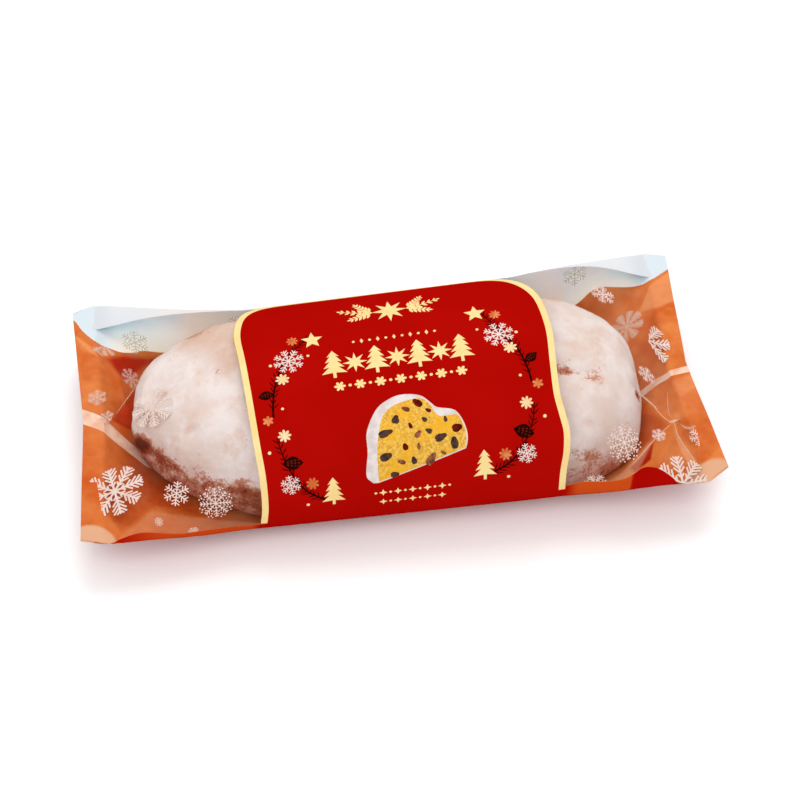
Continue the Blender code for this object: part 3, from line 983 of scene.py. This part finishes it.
def garland(side, draw):
    """Shapes of one side's garland by ink: a dark twig that curves up beside the text's place, with
    needles, cones, flakes, berries and small firs."""
    controls = [(44, 14), (57, 24), (66, 42), (69, 64), (66, 86), (58, 104), (45, 117)]
    if side > 0:
        controls = [(40, 19), (54, 27), (65, 44), (68, 66), (64, 88), (56, 103), (47, 120)]
    path = smooth_curve(controls, 80) @ np.array([side, 1j])
    inks = {key: [] for key in ("dark", "bark", "cream", "copper", "white", "gold")}
    for start, stop in ((0, 34), (40, 80)):
        twig = path[start:stop]
        inks["dark"] += on_label([stroke(twig, 1.1, 0.5)], 0, 0)
        for place in range(start + 3, stop - 2, 2):
            heading = math.degrees(cmath.phase(path[place + 1] - path[place]))
            for lean in (-38, 38):
                angle = heading + lean + draw.uniform(-9, 9)
                needle = leaf(draw.uniform(3.2, 5.6), 0.55, path[place], angle)
                inks["dark"] += on_label([needle], 0, 0)
    for share, offset, ink, outlines, size, layer in (
        (0.02, 6, "gold", fir_tree(), 8.5, 3), (0.10, -7, "cream", circle(0.9), 1, 1),
        (0.16, 5, "copper", petals(8, 0.45), 3.4, 2), (0.22, -4, "white", FULL_FLAKE, 5.5, 3),
        (0.30, 3, "cone", None, 4.6, 2), (0.37, -6, "cream", circle(0.9), 1, 1),
        (0.42, 4, "cream", petals(8, 0.42), 3.6, 2), (0.50, -3, "copper", petals(6, 0.45), 3.0, 2),
        (0.55, 5, "cream", circle(0.8), 1, 1), (0.62, -4, "cone", None, 3.6, 2),
        (0.70, 3, "cream", petals(8, 0.42), 3.8, 2), (0.76, -6, "cream", circle(0.9), 1, 1),
        (0.82, 2, "white", SMALL_FLAKE, 8.5, 3), (0.93, -5, "copper", petals(8, 0.45), 3.2, 2),
        (1.00, 3, "gold", star(5, 0.45), 6.0, 4), (0.91, 9, "cream", circle(0.8), 1, 1),
    ):
        number = min(int(share * 79), 78)
        heading = path[number + 1] - path[number]
        spot = path[number] + 1j * heading / abs(heading) * offset * side
        if ink == "cone":
            tilt = math.degrees(cmath.phase(heading)) + 90 + draw.uniform(-25, 25)
            inks["dark"] += on_label([leaf(2.4, 1.6, -1.2)], spot.real, spot.imag, size, tilt, layer)
            for row in range(4):
                for column in range(3):
                    scale = leaf(0.30, 0.20, -0.85 + 0.42 * row + 1j * (column - 1) * (0.36 - 0.05 * row))
                    inks["bark"] += on_label([scale], spot.real, spot.imag, size, tilt, layer + 2)
            continue
        turn = 0 if ink == "gold" else draw.uniform(-30, 30)
        outlines = [outlines] if isinstance(outlines, np.ndarray) else outlines
        inks[ink] += on_label(outlines, spot.real, spot.imag, size, turn, layer)
    return inks


def make_garlands():
    draw = random.Random(4)
    both = [garland(side, draw) for side in (-1, 1)]
    for ink, slot, material in (
        ("dark", "printed_film", DARK), ("bark", "printed_film", BARK), ("cream", "gold_print", CREAM),
        ("copper", "gold_print", COPPER), ("white", "white_print", WHITE), ("gold", "gold_print", GOLD),
    ):
        shapes = both[0][ink] + both[1][ink]
        printed("garland_" + ink, material, shapes, LABEL_PRINT_BASE)


def make_ornaments():
    """Gold ornaments in rows down the middle of the label."""
    shapes = on_label(star(8, 0.42), 0, 130, 9.5)
    for side in (-1, 1):
        for angle, length in ((8, 17), (42, 12), (-26, 12)):
            turn = angle if side > 0 else 180 - angle
            branch = sprig(length, side * 14, 5, 4.6, 1.9)
            shapes += on_label(branch, side * 9.5, 130, 1.0, turn)
    for number in range(-5, 6):
        diamond = star(2, 0.55) if number % 2 == 0 else [circle(0.45)]
        shapes += on_label(diamond, number * 4.4, 108.5, 1.7)
    for number in range(-3, 4):
        if number % 2:
            shapes += on_label(fir_tree(), number * 11.4, 94.5, 9.5)
        else:
            shapes += on_label(star(8, 0.40), number * 11.4, 94, 6.8)
    for number in range(-6, 7):
        motif = petals(6, 0.40) if number % 2 == 0 else [circle(0.28)]
        shapes += on_label(motif, number * 5.4, 79, 3.1)
    for row, count in ((15.5, 5), (8.5, 4)):
        for number in range(-count, count + 1):
            motif = star(4, 0.42) if number % 2 == 0 else [circle(0.33)]
            shapes += on_label(motif, number * 3.9, row, 2.2)
    printed("label_ornaments", GOLD, shapes, LABEL_PRINT_BASE)


def rounded_outline(curved, straight):
    """An outline that runs smoothly through one list of corners and straight through another."""
    return np.concatenate([smooth_curve(curved, 70), np.array(straight, float)]) @ np.array([1, 1j])


def encloses(outline, spot):
    turns = np.angle((np.roll(outline, -1) - spot) / (outline - spot))
    return abs(turns.sum()) > math.pi


def make_slice():
    """A cut slice as a printed picture: an iced arch, its crumb, and dark and candied fruit."""
    icing = rounded_outline((
        (-20.5, 22.2), (-23.9, 27), (-22.2, 39), (-21.5, 50), (-15.2, 61.9), (-8.3, 66.9), (-2.3, 68.8),
        (4.6, 68.3), (9.8, 66.2), (14.1, 61.4), (17, 58.8), (25.3, 56.3), (28.9, 50.6), (30.6, 44),
        (30.4, 39), (29.2, 35.2),
    ), ((7.2, 29), (-17.8, 22.1)))
    crumb = rounded_outline((
        (-17.7, 22.9), (-17.2, 38.8), (-15.2, 49), (-12.6, 57), (-8.3, 61.5), (-3.2, 63.9), (4.6, 65.4),
        (9.6, 64.8), (13, 61.2), (15.2, 56), (18.4, 53.5), (26, 53.6), (28.5, 49.5), (30, 44),
        (29.7, 39.2), (28.8, 35.8),
    ), ((7.2, 29.6), (-17.5, 22.8)))
    draw = random.Random(9)
    lumps = []
    fruit = {key: [] for key in ("dark", "raisin", "peel")}
    for attempt in range(400):
        spot = complex(draw.uniform(-18, 31), draw.uniform(23, 66))
        size = 1.7 + 3.0 * draw.random() ** 1.3
        clear = encloses(crumb, spot) and np.abs(crumb - spot).min() > 0.75 * size
        if clear and all(abs(spot - other) > 0.8 * (size + reach) + 2.2 for other, reach in lumps):
            lumps.append((spot, size))
            lump = petals(3, draw.uniform(0.7, 0.9))[0]
            lump = (lump.real + draw.uniform(0.5, 0.8) * 1j * lump.imag) * size
            ink = ("dark", "raisin", "dark", "peel")[len(lumps) % 4]
            fruit[ink].append(lump * cmath.exp(1j * draw.uniform(0, math.pi)) + spot)
    for name, slot, material, outlines, layer in (
        ("slice_icing", "white_print", ICING, [icing], 1), ("slice_crumb", "printed_film", CRUMB, [crumb], 3),
        ("slice_fruit", "printed_film", FRUIT, fruit["dark"], 5),
        ("slice_raisins", "printed_film", RAISIN, fruit["raisin"], 5),
        ("slice_peel", "printed_film", BARK, fruit["peel"], 5),
    ):
        printed(name, material, on_label(outlines, 0, 0, layer=layer), LABEL_PRINT_BASE)


# ---------------------------------------------------------------- the loaf

LOAF_MIDDLE = -3.1 * MM
LOAF_HALF = {-1: 139.2 * MM, 1: 141.9 * MM}
LOAF_PLAN = {-1: (2.05, 3.29), 1: (3.34, 2.97)}  # superellipse powers of the outline's front and back
LOAF_SKEW = {-1: 0.95 * MM, 1: -0.1 * MM}
LOAF_PROFILE = {-1: 3.46, 1: 3.0}
LOAF_FRONT = 78.2 * MM
LOAF_BACK = 56.6 * MM
LOAF_WIDEST = 0.22
LOAF_BASE = 0.6 * MM
LOAF_UNDER_FILM = 1.5 * MM
LOAF_CLEARANCE = 0.7 * MM
LOAF_TALLEST = 71.5 * MM
# Where the sugar is rubbed off: centre in mm, radius in mm, and how bare it is
CRUST_SPOTS = (
    ((-141, -4.5, 19), 5, 0.60), ((-140, -15, 24), 7, 0.60), ((-138, -22, 26), 5, 0.50),
    ((-134, -33, 30), 5, 0.75), ((-126, -46, 29), 5, 0.45), ((-116, -55, 29), 5, 0.40),
    ((-107, -61, 29), 4.5, 0.45), ((-101, -61, 34), 5, 0.55), ((-90, -65, 34), 6, 0.50),
    ((-80, -70, 28), 8, 0.55), ((-103, 35, 44), 8, 0.70),
    ((-90, 36, 48), 8, 0.28), ((-76, 36, 50), 8, 0.24), ((131.6, -27, 35.5), 4.0, 1.1),
    ((124, -33, 38), 4, 0.25), ((88.5, -26, 64), 7, 0.36), ((98, -27, 62), 6, 0.30),
    ((109, -27, 58), 6, 0.30), ((100, -64.5, 37), 8, 0.30), ((91, -70, 31), 9, 0.30),
    ((106, -67, 24), 10, 0.32), ((118, -61, 21), 10, 0.32),
)
# Dents in the sugar: centre, radius and depth in mm
DIMPLES = (
    ((-111, -34, 49.5), 4.5, 1.4), ((-105, 1, 56.5), 5, 1.3), ((-125, -5, 47), 5, 1.1),
    ((118, 4, 55), 6, 1.4),
    ((-92, -22, 57), 6, 0.8), ((104, 12, 60), 6, 0.8), ((104, -60, 33), 5, 1.0), ((125, -12, 47), 5, 0.8),
)
LOAF_ROWS = 240
LOAF_RING = 380


def rounded_off(place, power):
    """1 in the middle, falling to 0 at place 1 along a superellipse."""
    return (1 - abs(place) ** power) ** (1 / power)


def loaf_form():
    """The loaf's smooth form: rows along it, each a ring from the middle of the underside round the
    front. Its rows get closer towards the rounded ends."""
    points = np.zeros((LOAF_ROWS, LOAF_RING, 3))
    angle = np.linspace(0, 2 * math.pi, LOAF_RING, endpoint=False)
    forward, up = np.sin(angle), -np.cos(angle)
    for row, step in enumerate(np.linspace(-1, 1, LOAF_ROWS)):
        place = np.sign(step) * (1 - (1 - abs(step)) ** 1.6) * 0.9996
        end = end_of(place)
        front, back = (rounded_off(place, power) for power in LOAF_PLAN[end])
        width = np.where(forward > 0, front, back)
        height = rounded_off(place, LOAF_PROFILE[end])
        x = LOAF_MIDDLE + place * LOAF_HALF[end]
        crown = BODY_HEIGHT * (1 + HEIGHT_RISE * 2 * x / PACK_LENGTH) - LOAF_UNDER_FILM
        crown = min(crown, LOAF_TALLEST)
        widest = LOAF_WIDEST * crown
        low, high = (widest - LOAF_BASE) * height, (crown - widest) * height
        bend = mix(2.0, np.where(up < 0, 3.0, np.where(forward > 0, 2.4, 2.3)), width)
        reach = np.where(forward > 0, LOAF_FRONT, LOAF_BACK) * width
        points[row, :, 0] = x
        sideways = np.sign(forward) * np.abs(forward) ** (2 / bend)
        points[row, :, 1] = LOAF_SKEW[end] * (1 - back) - reach * sideways
        points[row, :, 2] = widest + np.where(up < 0, low, high) * np.sign(up) * np.abs(up) ** (2 / bend)
    return points


def keep_inside(points):
    """Draws each ring of the loaf in to where it clears the film, and leaves the rest of it."""
    for ring in points:
        y, z, _ = section(2 * ring[:, 0].mean() / PACK_LENGTH)
        middle = complex((y.min() + y.max()) / 2, (z.min() + z.max()) / 2)
        film = (y + 1j * z - middle)[:-1]
        order = np.argsort(np.angle(film))
        place = ring[:, 1] + 1j * ring[:, 2] - middle
        room = np.interp(np.angle(place), np.angle(film)[order], np.abs(film)[order], period=2 * math.pi)
        drawn = middle + place * np.minimum(1.0, (room - LOAF_CLEARANCE) / np.abs(place))
        ring[:, 1], ring[:, 2] = drawn.real, drawn.imag
    return points


def noise_over(points, size, octaves, shift):
    """Fractal noise, about -1 to 1, with lumps of about size metres."""
    offset = Vector((shift, shift * 1.7, shift * 2.3))
    flat = points.reshape(-1, 3) / size
    values = [noise.fractal(Vector(point) + offset, 1.0, 2.0, octaves) for point in flat]
    return np.array(values).reshape(points.shape[:-1])


def near(points, centre, radius):
    """1 at a centre in millimetres, falling to 0 over about a radius."""
    distance = np.linalg.norm(points / MM - np.array(centre), axis=-1)
    return np.exp(-(distance / radius) ** 2)


def make_loaf():
    points = loaf_form()
    normal = outward(points)
    x, y, z = (points[..., axis] / MM for axis in range(3))
    lumps = noise_over(points, 34 * MM, 3, 1.0)
    knobs = noise_over(points, 11 * MM, 3, 5.0)
    grit = noise_over(points, 3.2 * MM, 3, 9.0)

    # The fold that runs along the loaf, deeper towards its right end, ending before each tip.
    groove_line = -26.5 + 0.0022 * (x - 95) ** 2 * (x > 95) - 0.30 * np.minimum(x - 60, 0)
    groove_wide = np.exp(-((y - groove_line) / 7.0) ** 2) * (z > 30)
    groove = np.exp(-((y - groove_line + 1.2 * knobs) / 2.2) ** 2) * (z > 30)
    reach = ease((x + 125) / 60) * (1 - ease((x - 104) / 14))

    # Bare crust, 0 to 1: a ragged band low down, highest at the left end's front, and single spots.
    front = ease((-y + 10) / 40)
    left = ease((-x - 40) / 40)
    band_top = 12 + 20 * front * left + 7 * front * (1 - left)
    crust = (1 - ease((z - band_top + 8) / 14)) * mix(0.38, 0.52, left)
    for centre, radius, strength in CRUST_SPOTS:
        crust += strength * near(points, centre, radius)
    crust += 0.14 * groove * reach * (1 + knobs) + 0.04 * lumps
    dents = sum(depth * near(points, centre, radius) for centre, radius, depth in DIMPLES)
    crust = np.clip(crust, 0, 1.1)

    height = -0.9 + 0.9 * lumps + 0.35 * knobs + 0.10 * grit - dents
    height -= np.clip(crust, 0, 1) * (0.5 + 0.5 * np.abs(knobs) + 0.35 * grit)
    height -= (1.6 * groove_wide + 0.7 * groove * (0.6 + 0.8 * knobs)) * reach
    height += 3.0 * near(points, (-142, -10, 22), 12) + 3.4 * near(points, (-88, 30, 52), 25)
    height -= 1.2 * near(points, (-131, -40, 20), 10)
    under = ease((z - 1.0) / 6)
    points = keep_inside(points + normal * (height * under * MM)[..., None])
    points[..., 2] = np.maximum(points[..., 2], LOAF_BASE)

    faces = []
    for row in range(LOAF_ROWS - 1):
        here, there = row * LOAF_RING, (row + 1) * LOAF_RING
        for column in range(LOAF_RING):
            beside = (column + 1) % LOAF_RING
            faces.append((here + column, there + column, there + beside, here + beside))
    poles = [points[0].mean(axis=0), points[-1].mean(axis=0)]
    count = LOAF_ROWS * LOAF_RING
    last = count - LOAF_RING
    for column in range(LOAF_RING):
        beside = (column + 1) % LOAF_RING
        faces.append((count, column, beside))
        faces.append((count + 1, last + beside, last + column))
    every = np.concatenate([points.reshape(-1, 3), poles])
    crust = np.concatenate([crust.ravel(), [crust[0].mean(), crust[-1].mean()]])
    add_piece("stollen_loaf", every, faces, [CRUST], None, {"crust": crust}, crease=180)


# ---------------------------------------------------------------- stage, light and camera

FLOOR_DROP = 0.4 * MM  # the folded seam fin lies between the base and the floor
VIEW_TURN = 7.23  # degrees from straight in front, towards the left
VIEW_PITCH = 48.02
VIEW_DISTANCE = 1.2012
VIEW_TARGET = Vector((5.8 * MM, 1.6 * MM, 18 * MM))
VIEW_LENS = 97.155
WORLD_STRENGTH = 0.66 * LIGHT_LEVEL
KEY_POWER = 9.5 * LIGHT_LEVEL
BACK_LIGHT_POWER = 11 * LIGHT_LEVEL


def make_stage():
    mesh = bpy.data.meshes.new("floor")
    grid = bmesh.new()
    bmesh.ops.create_grid(grid, x_segments=8, y_segments=8, size=4.0)
    grid.to_mesh(mesh)
    grid.free()
    floor = bpy.data.objects.new("floor", mesh)
    floor.location.z = -FLOOR_DROP
    bpy.context.scene.collection.objects.link(floor)
    look = Look("floor_pale", 0.9, 0.1)
    look.colour(look.blend(look.noise(0.4, 2.0), (0.97, 0.97, 0.97, 1.0), (0.98, 0.98, 0.975, 1.0)))
    mesh.materials.append(look.material)


def add_light(name, spot, target, size, power):
    light = bpy.data.lights.new(name, "AREA")
    light.shape = "DISK"
    light.size = size
    light.energy = power
    lamp = bpy.data.objects.new(name, light)
    lamp.location = spot
    lamp.rotation_mode = "QUATERNION"
    lamp.rotation_quaternion = (Vector(target) - Vector(spot)).to_track_quat("-Z", "Y")
    bpy.context.scene.collection.objects.link(lamp)


def make_light():
    world = bpy.data.worlds.new("studio")
    world.use_nodes = True
    world.node_tree.nodes["Background"].inputs["Color"].default_value = (1.0, 1.0, 1.0, 1.0)
    world.node_tree.nodes["Background"].inputs["Strength"].default_value = WORLD_STRENGTH
    scene = bpy.context.scene
    scene.world = world
    scene.view_settings.view_transform = "Standard"
    add_light("key", (-0.4, -1.0, 1.5), (0, 0, 0.03), 1.3, KEY_POWER)
    add_light("back", (0.3, 0.9, 1.4), (0, 0, 0.03), 1.4, BACK_LIGHT_POWER)


def make_camera():
    turn, pitch = math.radians(VIEW_TURN), math.radians(VIEW_PITCH)
    level = VIEW_DISTANCE * math.cos(pitch)
    back = Vector((-level * math.sin(turn), -level * math.cos(turn), VIEW_DISTANCE * math.sin(pitch)))
    view = bpy.data.cameras.new("view")
    view.lens = VIEW_LENS
    view.sensor_width = 36.0
    camera = bpy.data.objects.new("view", view)
    camera.location = VIEW_TARGET + back
    camera.rotation_mode = "QUATERNION"
    camera.rotation_quaternion = (-back).to_track_quat("-Z", "Y")
    bpy.context.scene.collection.objects.link(camera)
    bpy.context.scene.camera = camera


make_camera()
make_window("window_left", -PACK_LENGTH / 2, WINDOW_ENDS[0], 130)
make_window("window_right", WINDOW_ENDS[1], PACK_LENGTH / 2, 132)
make_creases()
make_printed_film()
make_drift()
make_label()
make_border()
make_seam()
make_window_flakes()
make_drift_flakes()
make_garlands()
make_ornaments()
make_slice()
make_loaf()
make_stage()
make_light()
